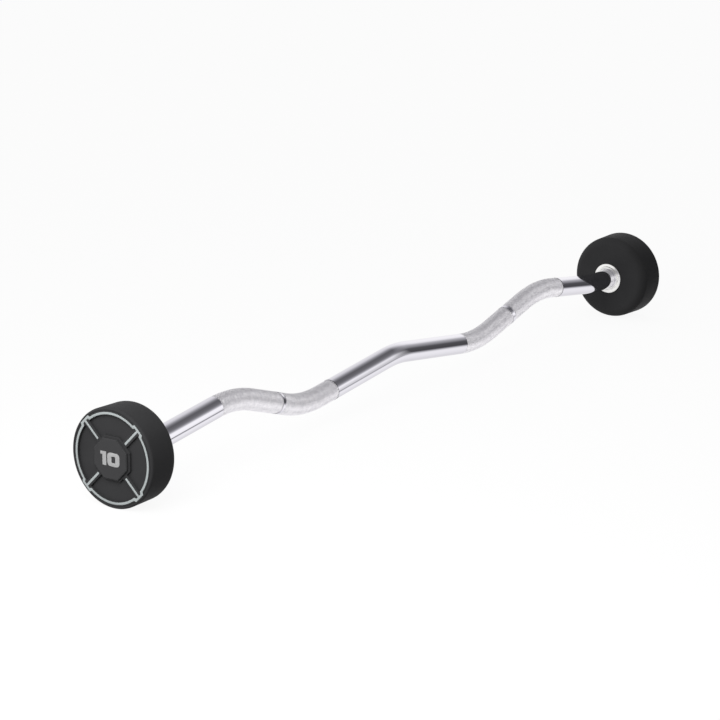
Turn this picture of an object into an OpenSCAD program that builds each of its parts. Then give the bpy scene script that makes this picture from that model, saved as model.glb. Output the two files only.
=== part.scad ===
// Curl barbell of one fixed weight: a round steel bar with a zigzag middle,
// and a urethane covered head bolted to each end.
// X runs along the bar, +Z is up, and the heads stand on Z = 0.

/* [Bar] */
// Diameter of the gripped bar
bar_d = 28; // [25:0.5:32]
// Distance between the inner faces of the two heads
span = 1090; // [1060:5:1300]
// Distance of the outermost bend from the head beside it, before all bends are shifted
end_run = 30; // [26:1:45]
// Distance of the upper bend from the bar's middle
crest_x = 352; // [340:1:365]
// Distance of the lower bend from the bar's middle
valley_x = 203; // [195:1:215]
// Height of the upper bend over the heads' axis
crest_h = 24; // [10:1:30]
// Depth of the lower bend under the heads' axis
valley_h = 24; // [10:1:30]
// Height of the middle bend over the heads' axis
middle_h = 4; // [0:1:20]
// Bend radius next to the heads
end_bend_r = 50; // [40:5:60]
// Bend radius of the grips
grip_bend_r = 165; // [80:5:180]
// How much thinner the bar is in its bends
bend_thinning = 0.1; // [0.06:0.02:0.4]
// How far all bends sit towards -X
bend_shift = 18; // [0:1:18]
// Lean of the bends about the heads' axis
bend_lean = 8.5; // [0:0.5:45]

/* [Rings on the grips] */
// Distance of each ring from the middle of the grip pattern
ring_mark_x = 269; // [262:1:280]
// How far the grip pattern sits towards -X
grip_shift = 9; // [5:1:14]
// Width of a ring
ring_mark_w = 6; // [2:0.5:8]
// Depth of a ring
ring_mark_depth = 0.4; // [0.2:0.1:1]

/* [Heads] */
// Diameter of a head at its outer end
head_d = 122; // [112:1:150]
// Length of a head from inner face to rim
head_len = 48; // [46:1:60]
// How much the side narrows towards the bar, on the radius
head_draft = 0.8; // [0:0.1:2]
// Rounding of the edge on the bar's side
inner_round = 12; // [4:0.5:12]
// Rounding of the outer rim
rim_round = 3; // [1:0.2:4]
// Diameter of the iron weight
core_d = 96; // [90:1:100]
// Urethane between the inner face and the weight
core_z = 5; // [4:0.5:6]
// Urethane between the weight and the rim
core_skin = 7.5; // [6:0.5:10]

/* [Head face] */
// Radius of the silver ring line
ring_r = 54; // [50:0.1:54]
// Width of the silver lines
line_w = 2.8; // [1.5:0.1:3.5]
// Depth of the silver lines
line_depth = 1; // [0.5:0.1:1.5]
// Depth of the four panels under the rim
panel_depth = 3.2; // [1:0.1:3.5]
// Width of the ribs between the panels
rib_w = 8; // [6:0.5:12]
// Width of the notch where the ring line meets a rib
notch_w = 12; // [10:0.5:14]
// How far the ring line steps out at a notch
notch_h = 2.4; // [1:0.1:2.8]
// Distance from the centre to the inner end of a spoke line
spoke_r = 29; // [28:0.5:34]
// Flat to flat size of the octagonal ledge
ledge_af = 54; // [52:0.5:56]
// Flat to flat size of the number plate
plate_af = 49.2; // [44:0.1:50]
// Height of the number plate over the rim
plate_raise = 3.5; // [2:0.1:5]
// Bevel of the number plate
plate_bevel = 0.8; // [0.3:0.1:1.2]
// Depth to which the number plate is let in
plate_seat = 3; // [2:0.1:3.5]
// Height of the numerals
digit_h = 16.5; // [10:0.5:20]

/* [Collars] */
// Diameter of the chrome collar's flange
collar_d = 44; // [40:1:52]
// How far a collar stands out of the head
collar_len = 6; // [4:0.5:7]
// Diameter of the collar's raised step
collar_step_d = 36; // [34:0.5:38]
// Height of the collar's raised step
collar_step_h = 2.5; // [1:0.5:3]

/* [Head fixing] */
// Diameter of the bar's turned end
spigot_d = 25; // [20:0.5:26]
// Gap between the bar's end and the washer
spigot_gap = 0.5; // [0.3:0.1:1]
// Thread diameter of the retaining bolt
bolt_d = 12; // [10:1:14]
// Length of the bolt under its head
bolt_len = 35; // [30:1:40]
// Flat to flat size of the bolt head
bolt_af = 19; // [17:1:21]
// Height of the bolt head
bolt_head_h = 6; // [5:0.5:8]
// Room between the bolt head and the number plate
bolt_room = 4; // [1:0.5:5]
// Diameter of the flat washer
washer_d = 32; // [28:1:33]
// Thickness of the flat washer
washer_h = 3; // [2:0.5:4]
// Diameter of the split washer
split_d = 20; // [18:0.5:22]
// Thickness of the split washer
split_h = 2.5; // [2:0.5:3]
// Gap cut through the split washer
split_gap = 1.5; // [1:0.5:3]
// Width of the driving key
key_w = 8; // [6:1:8]
// Height of the driving key
key_h = 7; // [6:0.5:8]
// Distance of the key from both ends of the bar's turned end
key_inset = 3; // [1:0.5:6]

/* [Hidden] */
$fn = 128;
SIDES = ["left", "right"];

axis_z = head_d / 2;
cut = 1;
bend_lap = 0.5;

// Heights inside a head, measured from its inner face and stacked under the number plate
plate_z = head_len - plate_seat;
core_len = head_len - core_skin - core_z;
core_top = core_z + core_len;
bolt_head_z = plate_z - bolt_room - bolt_head_h;
split_z = bolt_head_z - split_h;
washer_z = split_z - washer_h;
spigot_len = washer_z - spigot_gap - core_z;
access_d = washer_d + 2;
collar_neck_d = 36;
key_sink = key_h / 2 + 0.3;
key_z = core_z + key_inset;
key_len = spigot_len - 2 * key_inset;

// Corners of the bar's centreline, as distance along the bar and height
half_run = span / 2 + core_z;
end_bend_x = span / 2 - end_run;
corners = [
    [-half_run, 0],
    [-end_bend_x - bend_shift, 0],
    [-crest_x - bend_shift, crest_h],
    [-valley_x - bend_shift, -valley_h],
    [-bend_shift, middle_h],
    [valley_x - bend_shift, -valley_h],
    [crest_x - bend_shift, crest_h],
    [end_bend_x - bend_shift, 0],
    [half_run, 0]
];
last = len(corners) - 1;

function bend_r(i) = i == 1 || i == last - 1 ? end_bend_r : grip_bend_r;
function unit(v) = v / norm(v);
function heading(i) = unit(corners[i + 1] - corners[i]);
function cross_z(a, b) = a.x * b.y - a.y * b.x;
function turn(i) = atan2(cross_z(heading(i - 1), heading(i)), heading(i - 1) * heading(i));
function reach(i) = i == 0 || i == last ? 0 : bend_r(i) * tan(abs(turn(i)) / 2);
function bend_start(i) = corners[i] - heading(i - 1) * reach(i);
function bend_end(i) = i == 0 ? corners[0] : corners[i] + heading(i) * reach(i);
function left_of(v) = [-v.y, v.x];
function bend_centre(i) = bend_start(i) + left_of(heading(i - 1)) * bend_r(i) * sign(turn(i));
function angle_of(v) = atan2(v.y, v.x);

// Places a child drawn on the bar's flat plan at its leaning place
module on_bar() {
    translate([0, 0, axis_z]) rotate([90 + bend_lean, 0, 0]) children();
}

// Places a head piece. Its own x is the reader's right, y is up and z points outwards.
module at_head(side) {
    rotate([0, 0, side == "left" ? 0 : 180])
        translate([-span / 2, 0, axis_z])
            rotate([0, -90, 0]) rotate([0, 0, -90]) children();
}

module straight_run(i) {
    from = bend_end(i);
    to = i + 1 == last ? corners[last] : bend_start(i + 1);
    translate([from.x, from.y, 0]) rotate([0, 0, angle_of(to - from)])
        rotate([0, 90, 0]) cylinder(h = norm(to - from), d = bar_d);
}

// A bend runs a little way into the straights on both sides
module bend(i) {
    centre = bend_centre(i);
    first = turn(i) > 0 ? bend_start(i) : bend_end(i);
    translate([centre.x, centre.y, 0]) rotate([0, 0, angle_of(first - centre) - bend_lap])
        rotate_extrude(angle = abs(turn(i)) + 2 * bend_lap)
            translate([bend_r(i), 0]) circle(d = bar_d - bend_thinning);
}

module ring_mark(side, i) {
    x = side * ring_mark_x - grip_shift;
    along = heading(i);
    y = corners[i].y + (x - corners[i].x) * along.y / along.x;
    translate([x, y, 0]) rotate([0, 0, angle_of(along)]) rotate([0, 90, 0])
        difference() {
            cylinder(h = ring_mark_w, d = bar_d + 4, center = true);
            cylinder(h = ring_mark_w + cut, d = bar_d - 2 * ring_mark_depth, center = true);
        }
}

// The key, or the keyway that takes it from height z on
module key_block(z = key_z) {
    translate([-key_w / 2, spigot_d / 2 + key_sink - key_h, z])
        cube([key_w, key_h, key_z + key_len - z]);
}

module octagon(af) {
    rotate(22.5) circle(d = af / cos(22.5), $fn = 8);
}

module rounded_rect(w, h, r) {
    translate([-w / 2 + r, -h / 2]) square([w - 2 * r, h]);
    translate([-w / 2, -h / 2 + r]) square([w, h - 2 * r]);
    for (sx = [-1, 1], sy = [-1, 1])
        translate([sx * (w / 2 - r), sy * (h / 2 - r)]) circle(r = r);
}

// A disc of radius r with a bump over each rib. grow widens the bumps.
module notched_disc(r, grow) {
    circle(r = r);
    for (a = [45 : 90 : 315]) rotate(a)
        polygon([
            [r - 6, -notch_w / 2 - 2 - grow],
            [r - 1, -notch_w / 2 - 2 - grow],
            [r + notch_h, -notch_w / 2 - grow],
            [r + notch_h, notch_w / 2 + grow],
            [r - 1, notch_w / 2 + 2 + grow],
            [r - 6, notch_w / 2 + 2 + grow]
        ]);
}

module ring_line() {
    difference() {
        notched_disc(ring_r + line_w / 2, line_w / 2);
        notched_disc(ring_r - line_w / 2, -line_w / 2);
    }
}

module spoke_line() {
    rotate(45) translate([spoke_r, -line_w / 2])
        square([ring_r + notch_h - line_w / 2 - spoke_r, line_w]);
}

module panels() {
    difference() {
        circle(r = ring_r - line_w / 2 - 0.8);
        octagon(ledge_af);
        for (a = [45, 135]) rotate(a) square([head_d, rib_w], center = true);
    }
}

// Half section of the cover, as radius and height from the inner face
module cover_section() {
    r_in = head_d / 2 - head_draft;
    r_out = head_d / 2;
    polygon([
        [0, 0], [r_in - inner_round, 0], [r_in, inner_round],
        [r_out, head_len - rim_round], [r_out - rim_round, head_len], [0, head_len]
    ]);
    intersection() {
        translate([r_in - inner_round, inner_round]) circle(r = inner_round);
        translate([r_in - inner_round, 0]) square([inner_round, inner_round]);
    }
    intersection() {
        translate([r_out - rim_round, head_len - rim_round]) circle(r = rim_round);
        translate([r_out - rim_round, head_len - rim_round]) square([rim_round, rim_round]);
    }
}

module bar() {
    color("gainsboro") difference() {
        on_bar() difference() {
            union() {
                for (i = [0 : last - 1]) straight_run(i);
                for (i = [1 : last - 1]) bend(i);
                for (s = [0, 180]) rotate([0, 0, s]) translate([half_run - cut, 0, 0])
                    rotate([0, 90, 0]) cylinder(h = spigot_len + cut, d = spigot_d);
            }
            ring_mark(-1, 2);
            ring_mark(1, 5);
        }
        for (side = SIDES) at_head(side) {
            translate([0, 0, bolt_head_z - bolt_len - 2]) cylinder(h = bolt_len + 2, d = bolt_d);
            key_block();
        }
    }
}

module core(side) {
    color("dimgray") at_head(side) difference() {
        translate([0, 0, core_z]) cylinder(h = core_len, d = core_d);
        translate([0, 0, core_z - cut]) cylinder(h = core_len, d = spigot_d);
        translate([0, 0, washer_z]) cylinder(h = core_len, d = access_d);
        key_block(core_z - cut);
    }
}

module cover(side) {
    color("#2b2b2c") at_head(side) difference() {
        rotate_extrude() cover_section();
        translate([0, 0, core_z]) cylinder(h = core_len, d = core_d);
        translate([0, 0, -cut]) cylinder(h = core_z + 2 * cut, d = collar_neck_d);
        translate([0, 0, core_top - cut]) cylinder(h = head_len, d = access_d);
        translate([0, 0, plate_z]) linear_extrude(head_len) octagon(plate_af);
        translate([0, 0, head_len - panel_depth]) linear_extrude(head_len) panels();
        translate([0, 0, head_len - line_depth]) linear_extrude(head_len) ring_line();
        for (a = [0 : 90 : 270])
            translate([0, 0, head_len - line_depth]) linear_extrude(head_len) rotate(a) spoke_line();
    }
}

module collar(side) {
    color("silver") at_head(side) difference() {
        union() {
            translate([0, 0, collar_step_h - collar_len])
                cylinder(h = collar_len - collar_step_h, d = collar_d);
            translate([0, 0, -collar_len]) cylinder(h = collar_len, d = collar_step_d);
            cylinder(h = core_z, d = collar_neck_d);
        }
        translate([0, 0, -collar_len - cut])
            cylinder(h = collar_len + core_z + 2 * cut, d = bar_d);
    }
}

module ring_inlay(side) {
    color("#b4b8b8") at_head(side)
        translate([0, 0, head_len - line_depth]) linear_extrude(line_depth) ring_line();
}

module spoke_inlays(side) {
    color("#b4b8b8") at_head(side) for (a = [0 : 90 : 270])
        translate([0, 0, head_len - line_depth]) linear_extrude(line_depth) rotate(a) spoke_line();
}

module number_plate(side) {
    color("#2f3031") at_head(side) difference() {
        union() {
            translate([0, 0, plate_z])
                linear_extrude(plate_seat + plate_raise - plate_bevel) octagon(plate_af);
            translate([0, 0, head_len + plate_raise - plate_bevel]) rotate([0, 0, 22.5])
                cylinder(h = plate_bevel, d1 = plate_af / cos(22.5),
                         d2 = (plate_af - 2 * plate_bevel) / cos(22.5), $fn = 8);
        }
        translate([0, 0, head_len + plate_raise - line_depth]) linear_extrude(2) digits();
    }
}

module numerals(side) {
    color("#c9cccc") at_head(side)
        translate([0, 0, head_len + plate_raise - line_depth])
            linear_extrude(line_depth) digits();
}

// The number 10 in heavy square figures, centred on the plate
module digits() {
    stem_w = digit_h * 0.35;
    flag_w = digit_h * 0.18;
    flag_h = digit_h * 0.22;
    zero_w = digit_h * 1.11;
    gap = digit_h * 0.1;
    total = stem_w + flag_w + gap + zero_w;
    translate([-total / 2, -digit_h / 2]) {
        translate([flag_w, 0]) square([stem_w, digit_h]);
        translate([0, digit_h - flag_h]) square([flag_w + 1, flag_h]);
    }
    translate([total / 2 - zero_w / 2, 0]) difference() {
        rounded_rect(zero_w, digit_h, digit_h * 0.3);
        rounded_rect(zero_w * 0.32, digit_h * 0.47, digit_h * 0.08);
    }
}

module bolt(side) {
    color("gray") at_head(side) {
        translate([0, 0, bolt_head_z - bolt_len]) cylinder(h = bolt_len + cut, d = bolt_d);
        translate([0, 0, bolt_head_z]) linear_extrude(bolt_head_h)
            circle(d = bolt_af / cos(30), $fn = 6);
    }
}

module washer(side) {
    color("gray") at_head(side) difference() {
        translate([0, 0, washer_z]) cylinder(h = washer_h, d = washer_d);
        translate([0, 0, washer_z - cut]) cylinder(h = washer_h + 2 * cut, d = bolt_d + 1);
    }
}

module split_washer(side) {
    color("darkgray") at_head(side) difference() {
        translate([0, 0, split_z]) cylinder(h = split_h, d = split_d);
        translate([0, 0, split_z - cut]) cylinder(h = split_h + 2 * cut, d = bolt_d + 0.4);
        translate([0, -split_gap / 2, split_z - cut]) cube([split_d, split_gap, split_h + 2 * cut]);
    }
}

module key(side) {
    color("gray") at_head(side) key_block();
}

bar();
core("left");  // left_core
cover("left");  // left_cover
collar("left");  // left_collar
ring_inlay("left");  // left_ring_inlay
spoke_inlays("left");  // left_spoke_inlays
number_plate("left");  // left_number_plate
numerals("left");  // left_numerals
bolt("left");  // left_bolt
washer("left");  // left_washer
split_washer("left");  // left_split_washer
key("left");  // left_key
core("right");  // right_core
cover("right");  // right_cover
collar("right");  // right_collar
ring_inlay("right");  // right_ring_inlay
spoke_inlays("right");  // right_spoke_inlays
number_plate("right");  // right_number_plate
numerals("right");  // right_numerals
bolt("right");  // right_bolt
washer("right");  // right_washer
split_washer("right");  // right_split_washer
key("right");  // right_key
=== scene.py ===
"""Looks of a fixed weight curl barbell: a chrome bar with knurled grips between two urethane heads."""

import math

import bpy
from bpy.props import FloatProperty, FloatVectorProperty, IntProperty, PointerProperty, StringProperty
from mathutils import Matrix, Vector
from mathutils.geometry import tessellate_polygon


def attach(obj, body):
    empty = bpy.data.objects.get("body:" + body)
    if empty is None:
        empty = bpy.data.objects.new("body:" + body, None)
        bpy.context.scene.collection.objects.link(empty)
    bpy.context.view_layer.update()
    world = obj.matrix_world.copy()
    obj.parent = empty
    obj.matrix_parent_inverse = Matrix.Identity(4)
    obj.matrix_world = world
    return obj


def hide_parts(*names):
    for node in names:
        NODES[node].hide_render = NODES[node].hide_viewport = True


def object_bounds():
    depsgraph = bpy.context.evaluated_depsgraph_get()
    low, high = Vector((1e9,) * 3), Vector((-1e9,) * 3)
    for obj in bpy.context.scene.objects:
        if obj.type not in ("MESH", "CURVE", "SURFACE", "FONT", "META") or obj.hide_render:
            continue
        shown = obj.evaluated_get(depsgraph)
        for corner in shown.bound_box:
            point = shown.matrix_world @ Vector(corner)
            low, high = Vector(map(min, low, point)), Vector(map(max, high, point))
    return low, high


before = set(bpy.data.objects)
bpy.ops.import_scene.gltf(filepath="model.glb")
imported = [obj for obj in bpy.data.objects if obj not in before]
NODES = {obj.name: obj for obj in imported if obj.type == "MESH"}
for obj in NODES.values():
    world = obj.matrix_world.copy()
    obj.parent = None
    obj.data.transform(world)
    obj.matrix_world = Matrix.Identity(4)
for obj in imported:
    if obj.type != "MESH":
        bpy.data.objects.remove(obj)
CAD_LOW, CAD_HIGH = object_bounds()
AXIS_Z = (CAD_LOW.z + CAD_HIGH.z) / 2
BODY = "root"
SIDES = {"left": -1, "right": 1}
MM = 0.001
WHITE = (1.0, 1.0, 1.0, 1.0)

bl_info = {
    "name": "Curl barbell",
    "version": (1, 0, 0),
    "blender": (4, 5, 0),
    "location": "View3D > Sidebar > Curl barbell",
    "description": "Builds the looks of a fixed weight curl barbell around its solids",
    "category": "Object",
}


def length(name, millimetres, words):
    """A size, stored in metres."""
    return FloatProperty(name=name, description=words, default=millimetres * MM, min=0.0, subtype="DISTANCE",
                         unit="LENGTH", precision=5)


def shade(name, words, default):
    """A colour written as an sRGB hex value."""
    return StringProperty(name=name, description=words, default=default)


class RodSizes(bpy.types.PropertyGroup):
    """Sizes of the bent bar, the same as those of its solid."""

    diameter: length("Diameter", 28, "Diameter of the gripped bar")
    span: length("Span", 1090, "Distance between the heads' inner faces")
    end_run: length("End run", 30, "Distance of the outermost bends from the heads, before the shift")
    crest_x: length("Upper bends", 352, "Distance of the upper bends from the middle of the bends")
    valley_x: length("Lower bends", 203, "Distance of the lower bends from the middle of the bends")
    crest_h: length("Upper bend height", 24, "Height of the upper bends over the axis")
    valley_h: length("Lower bend depth", 24, "Depth of the lower bends under the axis")
    middle_h: length("Middle bend height", 4, "Height of the middle bend over the axis")
    end_bend_r: length("End bend radius", 50, "Bend radius next to the heads")
    grip_bend_r: length("Grip bend radius", 165, "Bend radius of the grips")
    bend_shift: length("Bend shift", 18, "How far all bends sit towards -X")
    bend_lean: FloatProperty(name="Bend lean", description="Lean of the bends about the heads' axis",
                             default=math.radians(8.5), subtype="ANGLE", unit="ROTATION")


class GripSizes(bpy.types.PropertyGroup):
    """Sizes of the knurled grips."""

    outer_x: length("Outer end", 396, "Distance of a grip's outer end from the middle of the pattern")
    inner_x: length("Inner end", 151, "Distance of a grip's inner end from the middle of the pattern")
    shift: length("Grip shift", 9, "How far the grips sit towards -X")
    ring_x: length("Ring", 269, "Distance of the smooth ring from the middle of the pattern")
    ring_w: length("Ring width", 6, "Width of the smooth ring")
    ring_depth: length("Ring depth", 0.3, "Depth of the smooth ring")
    diamond_len: length("Diamond length", 2.8, "Length of a knurl diamond along the bar, drawn coarse to show")
    diamond_h: length("Diamond height", 0.62, "Height of the knurl diamonds")
    diamonds: IntProperty(name="Diamonds", description="Diamonds of the knurl around the bar", default=32, min=12)


class HeadSizes(bpy.types.PropertyGroup):
    """Sizes of a head and what its face carries."""

    diameter: length("Diameter", 122, "Diameter of a head at its outer end")
    depth: length("Length", 48, "Length of a head from inner face to rim")
    draft: length("Draft", 0.8, "How much the side narrows towards the bar, on the radius")
    inner_round: length("Inner rounding", 12, "Rounding of the edge on the bar's side")
    rim_round: length("Rim rounding", 3, "Rounding of the outer rim")
    rim_groove: length("Rim groove", 0.8, "Width of the fine groove between face and rim")
    bore_d: length("Bore", 36, "Diameter of the hole for the collar")
    mould_edge: length("Moulded edge", 0.5, "Rounding of the moulded edges of the face")
    corner_r: length("Corner rounding", 0.7, "Rounding of the panels' corners in plan")
    panel_depth: length("Panel depth", 3.2, "Depth of the four panels under the rim")
    rib_w: length("Rib width", 8, "Width of the ribs between the panels")
    ledge_af: length("Ledge size", 54, "Flat to flat size of the octagonal ledge")
    plate_af: length("Plate size", 49.2, "Flat to flat size of the number plate")
    plate_raise: length("Plate height", 3.5, "Height of the number plate over the rim")
    plate_edge: length("Plate edge", 1.2, "Rounding of the number plate's edge")
    digit_h: length("Numerals", 16.5, "Height of the numerals")
    digit_raise: length("Raised numerals", 0.3, "How far the numerals stand over their plate")


class LineSizes(bpy.types.PropertyGroup):
    """Sizes of the silver lines."""

    ring_r: length("Ring radius", 54, "Radius of the silver ring line")
    width: length("Line width", 2.8, "Width of the silver lines")
    notch_w: length("Notch width", 12, "Width of the notch where the ring line meets a rib")
    notch_h: length("Notch height", 2.4, "How far the ring line steps out at a notch")
    notch_side: length("Notch side", 2, "Run of a notch's slanted side")
    spoke_r: length("Spoke start", 29, "Distance from the centre to the inner end of a spoke line")
    proud: length("Proud", 0.12, "How far the silver lines stand over the face")
    corner_r: length("Corner rounding", 0.5, "Rounding of the lines' corners in plan")


class CollarSizes(bpy.types.PropertyGroup):
    """Sizes of the turned collars."""

    flange_d: length("Flange", 44, "Diameter of a collar's flange")
    depth: length("Length", 6, "How far a collar stands out of the head")
    step_d: length("Step", 36, "Diameter of a collar's raised step")
    step_h: length("Step height", 2.5, "Height of a collar's raised step")
    edge: length("Edges", 0.5, "Rounding of a collar's edges")
    tool_mark: length("Lathe marks", 0.8, "Spacing of the lathe marks, drawn coarse to show")


class Colours(bpy.types.PropertyGroup):
    """Colours of the finishes, as sRGB hex values."""

    chrome: shade("Chrome", "Bright chrome plate", "#e7e6ec")
    # Painted light: the knurl's chrome is lighter than the polished chrome of the same plate, to make up for the
    # shade between its diamonds.
    knurl: shade("Knurled chrome", "Chrome over the knurl", "#fcfbfd")
    turned: shade("Turned chrome", "Chrome of the collars", "#f0f0ed")
    urethane: shade("Urethane", "Black cast urethane", "#373738")
    plate: shade("Number plate", "Black moulded plate", "#39393a")
    silver: shade("Silver lines", "Silver paint of the lines", "#a6acac")
    numeral: shade("Numerals", "Light grey of the numerals", "#a8a8a8")
    iron: shade("Iron", "Raw cast iron of the weights", "#4b4a49")
    zinc: shade("Zinc plate", "Zinc plated steel of the fixings", "#a7a9ab")
    floor: shade("Floor", "Studio floor", "#fcfcfc")


class StageValues(bpy.types.PropertyGroup):
    """Camera and lights of the photographed view."""

    camera_place: FloatVectorProperty(name="Camera", description="Place of the camera",
                                      default=(-2.7923, -1.9148, 0.9458), subtype="TRANSLATION", unit="LENGTH",
                                      precision=4)
    camera_aim: FloatVectorProperty(name="Camera aim", description="Direction in which the camera looks",
                                    default=(0.78811, 0.56001, -0.25549), subtype="DIRECTION", precision=4)
    lens: FloatProperty(name="Lens", description="Focal length on a 36 mm wide sensor", default=131.1, min=10.0,
                        subtype="DISTANCE_CAMERA")
    fill: FloatProperty(name="Fill", description="Level of the light that comes from all sides", default=0.48,
                        min=0.0)
    key_power: FloatProperty(name="Key light", description="Power of the soft box over the near head", default=15.2,
                             min=0.0, unit="POWER")


def values():
    """The sizes, colours and lights that the panel shows."""
    return bpy.context.scene.curl_barbell


def linear(hex_colour):
    """Turns an sRGB hex value to linear red, green, blue and an alpha of 1."""
    parts = [int(hex_colour[i:i + 2], 16) / 255 for i in (1, 3, 5)]
    return [p / 12.92 if p <= 0.04045 else ((p + 0.055) / 1.055) ** 2.4 for p in parts] + [1.0]


# Materials

def add_node(tree, kind, links=None, **settings):
    """Adds a node. A setting named like a property sets it, any other sets a socket; links join sockets."""
    node = tree.nodes.new(kind)
    for name, value in settings.items():
        if name in node.bl_rna.properties:
            setattr(node, name, value)
    for name, value in settings.items():
        if name not in node.bl_rna.properties:
            node.inputs[name.replace("_", " ")].default_value = value
    for socket, source in (links or {}).items():
        tree.links.new(source, node.inputs[socket])
    return node


def new_material(name, **sockets):
    """A material with its shader and output, and the shader's constants."""
    material = bpy.data.materials.new(name)
    material.use_nodes = True
    tree = material.node_tree
    tree.nodes.clear()
    shader = add_node(tree, "ShaderNodeBsdfPrincipled", **sockets)
    add_node(tree, "ShaderNodeOutputMaterial", {"Surface": shader.outputs[0]})
    place = add_node(tree, "ShaderNodeTexCoord").outputs["Object"]
    return material, tree, shader, place


def noise(tree, place, size_mm, detail=2.0, roughness=0.5):
    """Noise whose lumps are about size_mm across."""
    return add_node(tree, "ShaderNodeTexNoise", {"Vector": place}, Scale=1.0 / (size_mm * MM), Detail=detail,
                    Roughness=roughness).outputs[0]


def ramp(tree, source, low, high, out_low, out_high):
    """Maps low to out_low and high to out_high, and holds the ends."""
    node = add_node(tree, "ShaderNodeMapRange", {0: source}, clamp=True)
    for socket, value in zip(("From Min", "From Max", "To Min", "To Max"), (low, high, out_low, out_high)):
        node.inputs[socket].default_value = value
    return node.outputs[0]


def tint(tree, factor, dark, light):
    """A colour between two hex values."""
    node = add_node(tree, "ShaderNodeMix", data_type="RGBA")
    node.inputs["A"].default_value = linear(dark)
    node.inputs["B"].default_value = linear(light)
    tree.links.new(factor, node.inputs["Factor"])
    return node.outputs[2]


def bump(tree, shader, height, strength, depth_mm):
    """Raises the surface of a shader by a height pattern."""
    node = add_node(tree, "ShaderNodeBump", {"Height": height}, Strength=strength, Distance=depth_mm * MM)
    tree.links.new(node.outputs[0], shader.inputs["Normal"])


def chrome_plate(colour):
    """Hard chrome plate on ground steel: a mirror, with faint smears where hands have been."""
    material, tree, shader, place = new_material("bright_chrome_plate", Base_Color=linear(colour), Metallic=1.0)
    smears = noise(tree, place, 35.0, 3.0)
    tree.links.new(ramp(tree, smears, 0.45, 0.7, 0.04, 0.08), shader.inputs["Roughness"])
    return material


def knurled_chrome(colour):
    """Chrome plate over a cut diamond knurl: each face glints, so the grip looks satin. Its colour is painted
    lighter than the polished chrome of the same plate, to make up for the shade between the diamonds.
    """
    material, tree, shader, place = new_material("knurled_chrome_plate", Metallic=1.0)
    wear = noise(tree, place, 5.0, 3.0)
    worn = ramp(tree, wear, 0.3, 0.7, 0.0, 1.0)
    # The knurl colour here is the painted lighter copy of the chrome, brightened against the shade between the
    # diamonds.
    tree.links.new(tint(tree, worn, "#e8e7ea", colour), shader.inputs["Base Color"])
    grain = noise(tree, place, 1.2, 2.0)
    tree.links.new(ramp(tree, grain, 0.3, 0.7, 0.34, 0.46), shader.inputs["Roughness"])
    return material


def turned_chrome(colour, mark):
    """Lathe turned chrome: fine rings around the bar's axis stretch its highlights."""
    material, tree, shader, place = new_material("turned_chrome_plate", Base_Color=linear(colour), Metallic=1.0,
                                                 Roughness=0.22)
    centred = add_node(tree, "ShaderNodeVectorMath", {0: place}, operation="SUBTRACT")
    centred.inputs[1].default_value = (0.0, 0.0, AXIS_Z)
    flat = add_node(tree, "ShaderNodeVectorMath", {0: centred.outputs[0]}, operation="MULTIPLY")
    flat.inputs[1].default_value = (0.0, 1.0, 1.0)
    radius = add_node(tree, "ShaderNodeVectorMath", {0: flat.outputs[0]}, operation="LENGTH")
    turns = add_node(tree, "ShaderNodeMath", {0: radius.outputs["Value"]}, operation="MULTIPLY")
    turns.inputs[1].default_value = 2 * math.pi / mark
    wave = add_node(tree, "ShaderNodeMath", {0: turns.outputs[0]}, operation="SINE")
    bump(tree, shader, wave.outputs[0], 0.12, 0.01)
    return material


def cast_urethane(colour):
    """Cast urethane: dense black with a low sheen, fine mould grain and a cloudy film of handling."""
    material, tree, shader, place = new_material("cast_urethane", Specular_IOR_Level=0.04)
    cloud = noise(tree, place, 40.0, 4.0)
    film = ramp(tree, cloud, 0.35, 0.7, 0.0, 1.0)
    tree.links.new(tint(tree, film, "#333334", colour), shader.inputs["Base Color"])
    tree.links.new(ramp(tree, cloud, 0.3, 0.7, 0.5, 0.6), shader.inputs["Roughness"])
    bump(tree, shader, noise(tree, place, 0.9, 3.0, 0.6), 0.25, 0.05)
    return material


def moulded_plate(colour):
    """Injection moulded plate with a fine spark eroded texture, a little smoother than the urethane."""
    material, tree, shader, place = new_material("moulded_number_plate", Specular_IOR_Level=0.12)
    cloud = noise(tree, place, 18.0, 3.0)
    tree.links.new(tint(tree, cloud, "#363637", colour), shader.inputs["Base Color"])
    tree.links.new(ramp(tree, cloud, 0.3, 0.7, 0.42, 0.5), shader.inputs["Roughness"])
    bump(tree, shader, noise(tree, place, 0.6, 2.0, 0.6), 0.3, 0.05)
    return material


def satin_paint(name, colour, dark, grain_mm, rough):
    """Filled paint: satin, with fine flake and a slightly uneven film."""
    material, tree, shader, place = new_material(name, Metallic=0.1)
    flake = noise(tree, place, grain_mm)
    glint = ramp(tree, flake, 0.3, 0.6, 0.0, 1.0)
    tree.links.new(tint(tree, glint, dark, colour), shader.inputs["Base Color"])
    tree.links.new(ramp(tree, flake, 0.3, 0.7, rough, rough + 0.1), shader.inputs["Roughness"])
    bump(tree, shader, noise(tree, place, 3.0), 0.3, 0.05)
    return material


def raw_iron(colour):
    """Sand cast iron: dark, rough and pitted."""
    material, tree, shader, place = new_material("sand_cast_iron", Metallic=0.8)
    pits = noise(tree, place, 2.5, 5.0, 0.7)
    tree.links.new(tint(tree, pits, "#2c2a29", colour), shader.inputs["Base Color"])
    tree.links.new(ramp(tree, pits, 0.3, 0.7, 0.75, 0.55), shader.inputs["Roughness"])
    bump(tree, shader, pits, 0.6, 0.3)
    return material


def zinc_plate(colour):
    """Zinc plated steel: a soft grey sheen with cloudy patches from the bath."""
    material, tree, shader, place = new_material("zinc_plated_steel", Metallic=1.0)
    cloud = noise(tree, place, 5.0, 4.0)
    tree.links.new(tint(tree, cloud, "#8e9093", colour), shader.inputs["Base Color"])
    tree.links.new(ramp(tree, cloud, 0.3, 0.7, 0.28, 0.45), shader.inputs["Roughness"])
    return material


def dress(obj, material):
    """Gives an object one material."""
    obj.data.materials.clear()
    obj.data.materials.append(material)


# Mesh helpers

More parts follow.
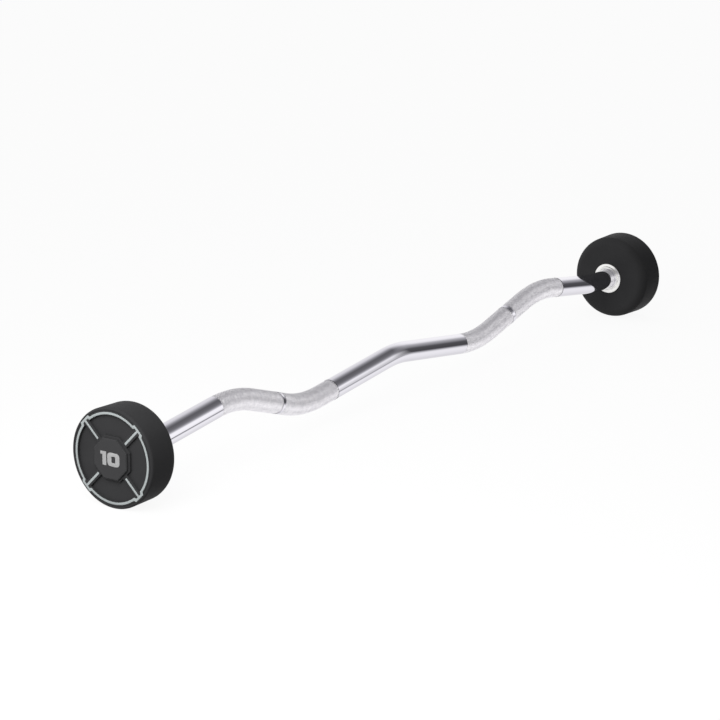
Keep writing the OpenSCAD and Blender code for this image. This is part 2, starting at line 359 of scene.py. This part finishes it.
def add_piece(name, points, faces, material, node, flat_faces=(), sharp=40.0):
    """A piece that stands for a solid, smooth but for its sharp edges and its flat faces."""
    mesh = bpy.data.meshes.new(name)
    mesh.from_pydata([tuple(p) for p in points], [], faces)
    mesh.update()
    flat = set(flat_faces)
    for polygon in mesh.polygons:
        polygon.use_smooth = polygon.index not in flat
    mesh.set_sharp_from_angle(angle=math.radians(sharp))
    obj = bpy.data.objects.new(name, mesh)
    bpy.context.scene.collection.objects.link(obj)
    dress(obj, material)
    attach(obj, BODY)
    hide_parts(node)


def at_head(side, points):
    """Places points drawn on a head: the reader's right, up, and outwards from the inner face."""
    sign = SIDES[side]
    half = values().rod.span / 2
    return [Vector((sign * (half + w), sign * u, AXIS_Z + v)) for u, v, w in points]


def circle(radius, count=128):
    """A circle as a closed outline, anticlockwise."""
    return [Vector((math.cos(2 * math.pi * i / count), math.sin(2 * math.pi * i / count))) * radius
            for i in range(count)]


def polar(radius, angle):
    """A point at a radius and an angle."""
    return Vector((math.cos(angle), math.sin(angle))) * radius


def octagon(across_flats):
    """An octagon with its flats up, down and to the sides."""
    return [polar(across_flats / 2 / math.cos(math.pi / 8), math.radians(22.5 + 45 * i)) for i in range(8)]


def turned(points, angle):
    """An outline turned about the middle of the face."""
    c, s = math.cos(angle), math.sin(angle)
    return [Vector((c * p.x - s * p.y, s * p.x + c * p.y)) for p in points]


def rounded(points, radius, least=math.radians(20), steps=5):
    """Rounds the corners of a closed outline that turn by more than least."""
    made = []
    for i, corner in enumerate(points):
        before, after = points[i - 1], points[(i + 1) % len(points)]
        back, ahead = (before - corner), (after - corner)
        turn = math.pi - back.angle(ahead)
        if turn < least:
            made.append(corner)
            continue
        reach = min(radius * math.tan(turn / 2), 0.48 * back.length, 0.48 * ahead.length)
        start, end = corner + back.normalized() * reach, corner + ahead.normalized() * reach
        for k in range(steps + 1):
            t = k / steps
            made.append(start * (1 - t) ** 2 + corner * 2 * t * (1 - t) + end * t ** 2)
    return made


def inset(points, amount):
    """Moves a closed outline to its left by amount, which is inwards where it runs anticlockwise."""
    moved = []
    for i, here in enumerate(points):
        first = (here - points[i - 1]).normalized()
        second = (points[(i + 1) % len(points)] - here).normalized()
        a, b = Vector((-first.y, first.x)), Vector((-second.y, second.x))
        moved.append(here + (a + b) * amount / (1 + a.dot(b)))
    return moved


def raised_form(outlines, low, high, edge, steps=4):
    """A flat form between two heights with a rounded upper edge. The first outline runs anticlockwise round
    the form, the others clockwise round its holes. Returns points, faces and the numbers of the flat faces."""
    rows = [(0.0, low), (0.0, high - edge)]
    for k in range(1, steps + 1):
        turn = math.pi / 2 * k / steps
        rows.append((edge * (1 - math.cos(turn)), high - edge + edge * math.sin(turn)))
    points, faces, top, tops = [], [], [], []
    for outline in outlines:
        count = len(outline)
        first = len(points)
        for amount, height in rows:
            ring = inset(outline, amount)
            points += [(p.x, p.y, height) for p in ring]
        for row in range(len(rows) - 1):
            for i in range(count):
                a, b = first + row * count + i, first + row * count + (i + 1) % count
                faces.append((a, b, b + count, a + count))
        top.append([Vector((p.x, p.y, 0.0)) for p in ring])
        tops += range(len(points) - count, len(points))
    walls = len(faces)
    for a, b, c in tessellate_polygon(top):
        pa, pb, pc = (Vector(points[tops[k]]) for k in (a, b, c))
        if (pb - pa).cross(pc - pa).z < 0:
            b, c = c, b
        faces.append((tops[a], tops[b], tops[c]))
    return points, faces, range(walls, len(faces))


def revolved(profile, count=160):
    """A surface of revolution around the head's axis through points of radius and height."""
    points, faces = [], []
    for radius, height in profile:
        points += [(p.x, p.y, height) for p in circle(radius, count)]
    for row in range(len(profile) - 1):
        for i in range(count):
            a, b = row * count + i, row * count + (i + 1) % count
            faces.append((a, b, b + count, a + count))
    return points, faces


def arc(centre, radius, start, end, steps=8):
    """Points of an arc in a profile, angles in degrees."""
    return [centre + polar(radius, math.radians(start + (end - start) * k / steps)) for k in range(steps + 1)]


# The bar

class Route:
    """The bar's centreline in its own plane, as straight runs and arcs joined end to end."""

    def __init__(self, rod):
        corners = self.corners(rod)
        last = len(corners) - 1
        headings = [(corners[i + 1] - corners[i]).normalized() for i in range(last)]
        self.parts = []
        here = corners[0]
        for i in range(1, last + 1):
            angle = math.atan2(headings[i - 1].y, headings[i - 1].x)
            if i == last:
                self.parts.append(((corners[i] - here).length, here, angle, 0.0))
                break
            turn = math.atan2(headings[i - 1].cross(headings[i]), headings[i - 1].dot(headings[i]))
            radius = rod.end_bend_r if i in (1, last - 1) else rod.grip_bend_r
            reach = radius * math.tan(abs(turn) / 2)
            start = corners[i] - headings[i - 1] * reach
            self.parts.append(((start - here).length, here, angle, 0.0))
            self.parts.append((radius * abs(turn), start, angle, math.copysign(1 / radius, turn)))
            here = corners[i] + headings[i] * reach
        self.total = sum(part[0] for part in self.parts)

    @staticmethod
    def corners(rod):
        """Corners of the zigzag before its bends are rounded."""
        half = rod.span / 2
        end = half - rod.end_run
        bends = [(-end, 0.0), (-rod.crest_x, rod.crest_h), (-rod.valley_x, -rod.valley_h), (0.0, rod.middle_h),
                 (rod.valley_x, -rod.valley_h), (rod.crest_x, rod.crest_h), (end, 0.0)]
        return [Vector((-half, 0.0))] + [Vector((x - rod.bend_shift, h)) for x, h in bends] + [Vector((half, 0.0))]

    def at(self, s):
        """Place and heading at a distance along the bar."""
        for index, (run, start, angle, curve) in enumerate(self.parts):
            if s <= run or index == len(self.parts) - 1:
                break
            s -= run
        ahead = angle + curve * s
        if curve:
            chord = Vector((math.sin(ahead) - math.sin(angle), math.cos(angle) - math.cos(ahead)))
            return start + chord / curve, ahead
        return start + Vector((math.cos(angle), math.sin(angle))) * s, ahead

    def distance_at(self, x):
        """Distance along the bar at which it passes x."""
        low, high = 0.0, self.total
        for _ in range(40):
            middle = (low + high) / 2
            if self.at(middle)[0].x < x:
                low = middle
            else:
                high = middle
        return (low + high) / 2

    def ring(self, lean, s, radii):
        """Points around the bar at distance s, one for each radius."""
        place, ahead = self.at(s)
        up = Vector((0.0, -math.sin(lean), math.cos(lean)))
        out = Vector((0.0, math.cos(lean), math.sin(lean)))
        centre = Vector((place.x, 0.0, AXIS_Z)) + up * place.y
        side = Vector((-math.sin(ahead), 0.0, 0.0)) + up * math.cos(ahead)
        turns = [2 * math.pi * j / len(radii) for j in range(len(radii))]
        return [centre + (side * math.cos(t) + out * math.sin(t)) * r for t, r in zip(turns, radii)]


def polished_length(route, rod, start, end, depth=0.0, around=96):
    """A smooth length of the bar, sunk by depth between its ends."""
    lip, spacing = 0.25 * MM, 4 * MM
    count = max(3, math.ceil((end - start) / spacing))
    stations = [(start, 0.0), (start + lip, depth)]
    stations += [(start + (end - start) * i / count, depth) for i in range(1, count)]
    stations += [(end - lip, depth), (end, 0.0)]
    points, faces = [], []
    for s, sunk in stations:
        points += route.ring(rod.bend_lean, s, [rod.diameter / 2 - sunk] * around)
    for i in range(len(stations) - 1):
        for j in range(around):
            a, b = i * around + j, i * around + (j + 1) % around
            faces.append((a, a + around, b + around, b))
    return points, faces


def knurled_length(route, rod, grip, start, end):
    """A length of diamond knurl: peaks between crossing helical grooves."""
    rows = 2 * max(2, round((end - start) / grip.diamond_len))
    columns = 2 * grip.diamonds
    half = grip.diamond_h / 2
    points, faces = [], []
    for i in range(rows + 1):
        swing = half if 0 < i < rows else 0.0
        radii = [rod.diameter / 2 - half + swing * (1 if (i + j) % 2 else -1) for j in range(columns)]
        points += route.ring(rod.bend_lean, start + (end - start) * i / rows, radii)
    for i in range(rows):
        for j in range(columns):
            a, b = i * columns + j, i * columns + (j + 1) % columns
            c, d = b + columns, a + columns
            if (i + j) % 2 == 0:
                faces += [(a, c, b), (a, d, c)]
            else:
                faces += [(a, d, b), (b, d, c)]
    return points, faces


class BARBELL_OT_rod(bpy.types.Operator):
    """Bends the bar, knurls its grips and polishes the rest"""

    bl_idname = "barbell.rod"
    bl_label = "Bar and grips"

    def execute(self, context):
        rod, grip, colours = values().rod, values().grip, values().colours
        route = Route(rod)
        marks = []
        for sign in SIDES.values():
            start, end = sorted(route.distance_at(sign * x - grip.shift) for x in (grip.inner_x, grip.outer_x))
            ring = route.distance_at(sign * grip.ring_x - grip.shift)
            marks.append((start, ring - grip.ring_w / 2, ring + grip.ring_w / 2, end))
        knurled = knurled_chrome(colours.knurl)
        polished = chrome_plate(colours.chrome)
        for side, (start, ring_low, ring_high, end) in zip(SIDES, marks):
            for part, low, high in (("a", start, ring_low), ("b", ring_high, end)):
                points, faces = knurled_length(route, rod, grip, low, high)
                add_piece(f"{side}_grip_{part}", points, faces, knurled, "bar", range(len(faces)))
            points, faces = polished_length(route, rod, ring_low, ring_high, grip.ring_depth)
            add_piece(f"{side}_grip_ring", points, faces, polished, "bar")
        cuts = [0.0, marks[0][0], marks[0][3], marks[1][0], marks[1][3], route.total]
        for index, name in enumerate(("left_end_length", "middle_length", "right_end_length")):
            points, faces = polished_length(route, rod, cuts[2 * index], cuts[2 * index + 1])
            add_piece(name, points, faces, polished, "bar")
        return {"FINISHED"}


# The heads

def panel_outline(head, line):
    """The upper panel of a face, clockwise, between two ribs, the ledge and the ring line."""
    margin, steps = 0.8 * MM, 40
    outer = line.ring_r - line.width / 2 - margin
    half = head.rib_w / 2
    along, across = polar(1.0, math.pi / 4), polar(1.0, math.pi * 3 / 4)
    flat = head.ledge_af / 2
    rim_point = along * math.sqrt(outer ** 2 - half ** 2) + across * half
    ledge_point = along * flat + across * half
    corner = polar(flat / math.cos(math.pi / 8), math.radians(67.5))
    start = math.atan2(rim_point.y, rim_point.x)
    sweep = [polar(outer, start + (math.pi - 2 * start) * k / steps) for k in range(steps + 1)]
    mirror = [Vector((-p.x, p.y)) for p in (ledge_point, corner)]
    return rounded((sweep + mirror + [corner, ledge_point])[::-1], head.corner_r)


def notched_outline(line, radius, grow):
    """A circle that steps out at the four ribs, anticlockwise. grow widens the steps."""
    wide, narrow = line.notch_w / 2 + line.notch_side + grow, line.notch_w / 2 + grow
    lower, steps = 1.0 * MM, 24
    slope = (narrow - wide) / (line.notch_h + lower)
    y = wide
    for _ in range(20):  # closes in on the point where the slanted side meets the circle
        x = math.sqrt(radius ** 2 - y ** 2)
        y = wide + slope * (x - (radius - lower))
    start = math.atan2(y, x)
    step = [Vector((x, -y)), Vector((radius + line.notch_h, -narrow)), Vector((radius + line.notch_h, narrow)),
            Vector((x, y))]
    quarter = step + [polar(radius, start + (math.pi / 2 - 2 * start) * k / steps) for k in range(1, steps)]
    outline = []
    for k in range(4):
        outline += turned(quarter, math.pi / 4 + math.pi / 2 * k)
    return rounded(outline, line.corner_r)


class BARBELL_OT_covers(bpy.types.Operator):
    """Moulds the urethane covers of the heads"""

    bl_idname = "barbell.covers"
    bl_label = "Urethane covers"

    def execute(self, context):
        head, line = values().head, values().line
        material = cast_urethane(values().colours.urethane)
        outer, inner = head.diameter / 2, head.diameter / 2 - head.draft
        shoulder = outer - head.rim_round
        web_r = shoulder - head.rim_groove
        floor = head.depth - head.panel_depth
        groove = head.depth - 0.7 * MM
        wall, overlap = web_r - 0.3 * MM, 0.4 * MM
        profile = [Vector((head.bore_d / 2, 0.0))]
        profile += arc(Vector((inner - head.inner_round, head.inner_round)), head.inner_round, -90, 0, 24)
        profile += arc(Vector((shoulder, head.depth - head.rim_round)), head.rim_round, 0, 90, 12)
        profile += [Vector((shoulder - 0.15 * MM, head.depth - 0.1 * MM)),
                    Vector((shoulder - 0.35 * MM, groove)), Vector((wall, groove)), Vector((wall, floor)),
                    Vector((head.plate_af / 2 - 1 * MM, floor))]
        panel = panel_outline(head, line)
        holes = [turned(panel, math.pi / 2 * k) for k in range(4)]
        for side in SIDES:
            points, faces = revolved(profile)
            add_piece(f"{side}_cover_shell", at_head(side, points), faces, material, f"{side}_cover")
            points, faces, flat = raised_form([circle(web_r)] + holes, floor - overlap, head.depth,
                                              head.mould_edge)
            add_piece(f"{side}_cover_face", at_head(side, points), faces, material, f"{side}_cover",
                      flat)
        return {"FINISHED"}


class BARBELL_OT_plates(bpy.types.Operator):
    """Makes the number plates with their numerals"""

    bl_idname = "barbell.plates"
    bl_label = "Number plates"

    def execute(self, context):
        head, colours = values().head, values().colours
        plate = moulded_plate(colours.plate)
        ink = satin_paint("numeral_paint", colours.numeral, "#989898", 0.8, 0.45)
        top = head.depth + head.plate_raise
        plate_top = top - head.digit_raise
        corner, plate_sunk = 0.6 * MM, 0.5 * MM
        digit_sunk, digit_edge = 0.2 * MM, 0.15 * MM
        for side in SIDES:
            outline = rounded(octagon(head.plate_af), corner)
            points, faces, flat = raised_form([outline], head.depth - plate_sunk, plate_top, head.plate_edge)
            add_piece(f"{side}_plate", at_head(side, points), faces, plate, f"{side}_number_plate",
                      flat)
            for name, outlines in self.digits(head.digit_h).items():
                points, faces, flat = raised_form(outlines, plate_top - digit_sunk, top, digit_edge, 3)
                add_piece(f"{side}_{name}", at_head(side, points), faces, ink, f"{side}_numerals",
                          flat)
        return {"FINISHED"}

    @staticmethod
    def digits(high):
        """Outlines of the heavy square figures one and nought, centred on the plate. All their sizes are parts
        of their height."""
        stem, flag_w, flag_h, zero, gap = (high * k for k in (0.35, 0.18, 0.22, 1.11, 0.1))
        left = -(stem + flag_w + gap + zero) / 2
        low, up = -high / 2, high / 2
        one = [(left + flag_w, low), (left + flag_w + stem, low), (left + flag_w + stem, up), (left, up),
               (left, up - flag_h), (left + flag_w, up - flag_h)]
        middle = -left - zero / 2

        def box(w, h):
            return [Vector((middle + x * w / 2, y * h / 2)) for x, y in ((-1, -1), (1, -1), (1, 1), (-1, 1))]

        nought = rounded(box(zero, high), high * 0.34, steps=10)
        counter = rounded(box(zero * 0.32, high * 0.47), high * 0.1)[::-1]
        return {"digit_one": [rounded([Vector(p) for p in one], high * 0.035)], "digit_nought": [nought, counter]}


class BARBELL_OT_lines(bpy.types.Operator):
    """Lays the silver lines of the face"""

    bl_idname = "barbell.lines"
    bl_label = "Silver lines"

    def execute(self, context):
        head, line = values().head, values().line
        material = satin_paint("silver_line_paint", values().colours.silver, "#979d9d", 0.7, 0.4)
        sunk = 1 * MM
        low, high = head.depth - sunk, head.depth + line.proud
        half = line.width / 2
        ring = [notched_outline(line, line.ring_r + half, half),
                notched_outline(line, line.ring_r - half, -half)[::-1]]
        end = line.ring_r + line.notch_h - half
        bar = rounded([Vector(p) for p in ((line.spoke_r, -half), (end, -half), (end, half), (line.spoke_r, half))],
                      line.corner_r)
        for side in SIDES:
            points, faces, flat = raised_form(ring, low, high, line.proud, 2)
            add_piece(f"{side}_ring_line", at_head(side, points), faces, material, f"{side}_ring_inlay",
                      flat)
            for k in range(4):
                spoke = turned(bar, math.pi / 4 + math.pi / 2 * k)
                points, faces, flat = raised_form([spoke], low, high, line.proud, 2)
                add_piece(f"{side}_spoke_line_{k + 1}", at_head(side, points), faces, material,
                          f"{side}_spoke_inlays", flat)
        return {"FINISHED"}


class BARBELL_OT_collars(bpy.types.Operator):
    """Turns the chrome collars at the heads' inner faces"""

    bl_idname = "barbell.collars"
    bl_label = "Collars"

    def execute(self, context):
        collar = values().collar
        material = turned_chrome(values().colours.turned, collar.tool_mark)
        edge = collar.edge
        bore, step, flange = values().rod.diameter / 2, collar.step_d / 2, collar.flange_d / 2
        top, ledge = -collar.depth, collar.step_h - collar.depth
        profile = [Vector((bore, 0.0)), Vector((bore, top + edge))]
        profile += arc(Vector((bore + edge, top + edge)), edge, 180, 270, 4)
        profile += arc(Vector((step - edge, top + edge)), edge, 270, 360, 4)
        profile += arc(Vector((step + edge / 2, ledge - edge / 2)), edge / 2, 180, 90, 3)
        profile += arc(Vector((flange - edge, ledge + edge)), edge, 270, 360, 4)
        profile += [Vector((flange, 0.0))]
        for side in SIDES:
            points, faces = revolved(profile[::-1], 96)
            add_piece(f"{side}_turned_collar", at_head(side, points), faces, material, f"{side}_collar",
                      sharp=50.0)
        return {"FINISHED"}


class BARBELL_OT_fixings(bpy.types.Operator):
    """Finishes the iron weights and the fixings inside the heads"""

    bl_idname = "barbell.fixings"
    bl_label = "Weights and fixings"

    def execute(self, context):
        iron = raw_iron(values().colours.iron)
        zinc = zinc_plate(values().colours.zinc)
        for side in SIDES:
            dress(NODES[f"{side}_core"], iron)
            for part in ("bolt", "washer", "split_washer", "key"):
                dress(NODES[f"{side}_{part}"], zinc)
        return {"FINISHED"}


# The stage

class BARBELL_OT_stage(bpy.types.Operator):
    """Sets the floor, the lights and the camera"""

    bl_idname = "barbell.stage"
    bl_label = "Stage"

    def execute(self, context):
        self.add_floor()
        self.add_world()
        self.add_lamps()
        self.add_camera(context.scene)
        context.scene.view_settings.view_transform = "Standard"
        return {"FINISHED"}

    @staticmethod
    def add_floor():
        """White seamless paper that keeps a faint shadow. Reflections see the room's walls in its place."""
        half = 6.0
        plain_white = 0.92  # the part of what the camera sees that no shadow darkens
        corners = [(x, y, 0.0) for x, y in ((-half, -half), (half, -half), (half, half), (-half, half))]
        mesh = bpy.data.meshes.new("studio_floor")
        mesh.from_pydata(corners, [], [(0, 1, 2, 3)])
        floor = bpy.data.objects.new("studio_floor", mesh)
        bpy.context.scene.collection.objects.link(floor)
        material = bpy.data.materials.new("white_seamless_paper")
        material.use_nodes = True
        tree = material.node_tree
        tree.nodes.clear()
        paper = add_node(tree, "ShaderNodeBsdfDiffuse", Color=linear(values().colours.floor))
        glow = add_node(tree, "ShaderNodeEmission", Color=WHITE, Strength=1.0)
        path = add_node(tree, "ShaderNodeLightPath")
        share = add_node(tree, "ShaderNodeMath", {0: path.outputs["Is Camera Ray"]}, operation="MULTIPLY")
        share.inputs[1].default_value = plain_white
        mix = add_node(tree, "ShaderNodeMixShader", {0: share.outputs[0], 1: paper.outputs[0], 2: glow.outputs[0]})
        add_node(tree, "ShaderNodeOutputMaterial", {"Surface": mix.outputs[0]})
        dress(floor, material)
        floor.visible_glossy = False
        floor.visible_diffuse = False

    @staticmethod
    def add_world():
        """White to the eye. To reflections it is a light room with a dark ceiling flag in front of the bar and a
        thin dark line low in front. Towards the near head both are paler, and the same behind as in front. On the
        wall beyond the far head the flag hangs lower and is darker, and the line is missing.
        Angles go from the back over the top. Matt surfaces get a soft light that is stronger from behind."""
        room = ((-180, 1.15), (-161, 1.1), (-157, 0.25), (-149, 0.2), (-145, 0.9), (-132, 1.1), (-109, 0.96),
                (-95, 0.9), (-79, 0.77), (-30, 0.78), (0, 0.9), (46, 0.84), (60, 0.7), (72, 0.48), (83, 0.3),
                (93, 0.2), (103, 0.13), (125, 0.16), (138, 0.22), (147, 0.36), (155, 0.62), (163, 1.1), (172, 1.15))
        end_wall = ((-180, 0.07), (-168, 0.08), (-160, 0.3), (-153, 0.62), (-146, 0.95), (-135, 1.0), (-110, 0.95),
                    (-87, 0.86), (-30, 0.85), (0, 0.98), (40, 1.07), (62, 1.04), (80, 0.9), (96, 0.57), (118, 0.36),
                    (133, 0.26), (147, 0.12), (158, 0.09), (172, 0.08))
        near_side, far_side = 0.1, 0.35  # X of a direction, between which the near pattern turns into the far one
        wall_start, wall_full = 0.69, 0.84  # and between which that one turns into the end wall's
        near_strength, pale = 0.7, (0.96, 0.95, 0.97, 1.0)
        light_from, unevenness = (0.0, 0.95, 0.3), 0.96
        world = bpy.data.worlds.new("studio")
        bpy.context.scene.world = world
        world.use_nodes = True
        tree = world.node_tree
        tree.nodes.clear()
        path = add_node(tree, "ShaderNodeLightPath")
        ray = add_node(tree, "ShaderNodeTexCoord").outputs["Generated"]
        parts = add_node(tree, "ShaderNodeSeparateXYZ", {0: ray})
        far = ramp(tree, parts.outputs["X"], near_side, far_side, 0.0, 1.0)
        depth = add_node(tree, "ShaderNodeMath", {0: parts.outputs["Y"]}, operation="ABSOLUTE")
        front = add_node(tree, "ShaderNodeMath", {0: depth.outputs[0]}, operation="MULTIPLY")
        front.inputs[1].default_value = -1.0
        across = add_node(tree, "ShaderNodeMix", {0: far, 2: front.outputs[0], 3: parts.outputs["Y"]})
        angle = add_node(tree, "ShaderNodeMath", {0: parts.outputs["Z"], 1: across.outputs[0]},
                         operation="ARCTAN2")
        around = ramp(tree, angle.outputs[0], -math.pi, math.pi, 0.0, 1.0)
        curves = []
        for part in (room, end_wall):
            curve = add_node(tree, "ShaderNodeValToRGB", {0: around})
            stops = curve.color_ramp.elements
            while len(stops) < len(part):
                stops.new(0.5)
            for stop, (degrees, level) in zip(stops, part):
                stop.position = (degrees + 180) / 360
                violet = 1.0 + 0.06 * (1.0 - min(level, 1.0))
                stop.color = (level, level * 0.99, level * violet, 1.0)
            curves.append(curve.outputs[0])
        ahead = ramp(tree, parts.outputs["X"], wall_start, wall_full, 0.0, 1.0)
        walls = add_node(tree, "ShaderNodeMix", {"Factor": ahead, "A": curves[0], "B": curves[1]}, data_type="RGBA")
        flags = add_node(tree, "ShaderNodeMix", {"Factor": ramp(tree, far, 0.0, 1.0, near_strength, 1.0),
                                                 "B": walls.outputs[2]}, data_type="RGBA")
        flags.inputs["A"].default_value = pale
        eye = add_node(tree, "ShaderNodeMix", {"Factor": path.outputs["Is Camera Ray"], "A": flags.outputs[2]},
                       data_type="RGBA")
        eye.inputs["B"].default_value = WHITE
        seen = add_node(tree, "ShaderNodeMath",
                        {0: path.outputs["Is Camera Ray"], 1: path.outputs["Is Glossy Ray"]}, operation="MAXIMUM")
        level = values().stage.fill
        toward = add_node(tree, "ShaderNodeVectorMath", {0: ray}, operation="DOT_PRODUCT")
        toward.inputs[1].default_value = light_from
        soft = ramp(tree, toward.outputs["Value"], -1.0, 1.0, level * (1 - unevenness), level * (1 + unevenness))
        light = add_node(tree, "ShaderNodeMix", {"Factor": seen.outputs[0], "A": soft, "B": eye.outputs[2]},
                         data_type="RGBA")
        shader = add_node(tree, "ShaderNodeBackground", {"Color": light.outputs[2]}, Strength=1.0)
        add_node(tree, "ShaderNodeOutputWorld", {"Surface": shader.outputs[0]})

    @staticmethod
    def add_lamps():
        """A soft box above the near head, so the far head stands in weaker light."""
        place, aim = Vector((-1.35, -0.3, 0.73)), Vector((-0.6, 0.0, AXIS_Z))
        lamp = bpy.data.lights.new("key_box", "AREA")
        lamp.size = 0.9
        lamp.energy = values().stage.key_power
        obj = bpy.data.objects.new("key_box", lamp)
        bpy.context.scene.collection.objects.link(obj)
        obj.visible_glossy = False
        obj.location = place
        obj.rotation_euler = (aim - place).to_track_quat("-Z", "Y").to_euler()

    @staticmethod
    def add_camera(scene):
        """The camera of the photographed view."""
        stage = values().stage
        lens = bpy.data.cameras.new("camera")
        lens.sensor_width = 36.0
        lens.lens = stage.lens
        camera = bpy.data.objects.new("camera", lens)
        scene.collection.objects.link(camera)
        camera.location = stage.camera_place
        camera.rotation_euler = Vector(stage.camera_aim).to_track_quat("-Z", "Y").to_euler()
        scene.camera = camera


OPERATORS = (BARBELL_OT_rod, BARBELL_OT_covers, BARBELL_OT_plates, BARBELL_OT_lines, BARBELL_OT_collars,
             BARBELL_OT_fixings, BARBELL_OT_stage)


class BarbellValues(bpy.types.PropertyGroup):
    """All values of the barbell."""

    rod: PointerProperty(type=RodSizes)
    grip: PointerProperty(type=GripSizes)
    head: PointerProperty(type=HeadSizes)
    line: PointerProperty(type=LineSizes)
    collar: PointerProperty(type=CollarSizes)
    colours: PointerProperty(type=Colours)
    stage: PointerProperty(type=StageValues)


class BARBELL_PT_panel(bpy.types.Panel):
    """Lists the barbell's pieces and their values"""

    bl_label = "Curl barbell"
    bl_idname = "BARBELL_PT_panel"
    bl_space_type = "VIEW_3D"
    bl_region_type = "UI"
    bl_category = "Curl barbell"

    def draw(self, context):
        for operator in OPERATORS:
            self.layout.operator(operator.bl_idname)
        for group in BarbellValues.__annotations__:
            box = self.layout.box()
            box.label(text=group.capitalize())
            owner = getattr(values(), group)
            for name in type(owner).__annotations__:
                box.prop(owner, name)


CLASSES = (RodSizes, GripSizes, HeadSizes, LineSizes, CollarSizes, Colours, StageValues, BarbellValues, *OPERATORS,
           BARBELL_PT_panel)


def register():
    """Registers the classes and hangs the values on the scene."""
    for cls in CLASSES:
        bpy.utils.register_class(cls)
    bpy.types.Scene.curl_barbell = PointerProperty(type=BarbellValues)


def unregister():
    """Takes the values and the classes away again."""
    del bpy.types.Scene.curl_barbell
    for cls in reversed(CLASSES):
        bpy.utils.unregister_class(cls)


def main():
    """Builds all pieces and the stage."""
    register()
    for step in (bpy.ops.barbell.rod, bpy.ops.barbell.covers, bpy.ops.barbell.plates, bpy.ops.barbell.lines,
                 bpy.ops.barbell.collars, bpy.ops.barbell.fixings, bpy.ops.barbell.stage):
        step()


if __name__ == "__main__":
    main()
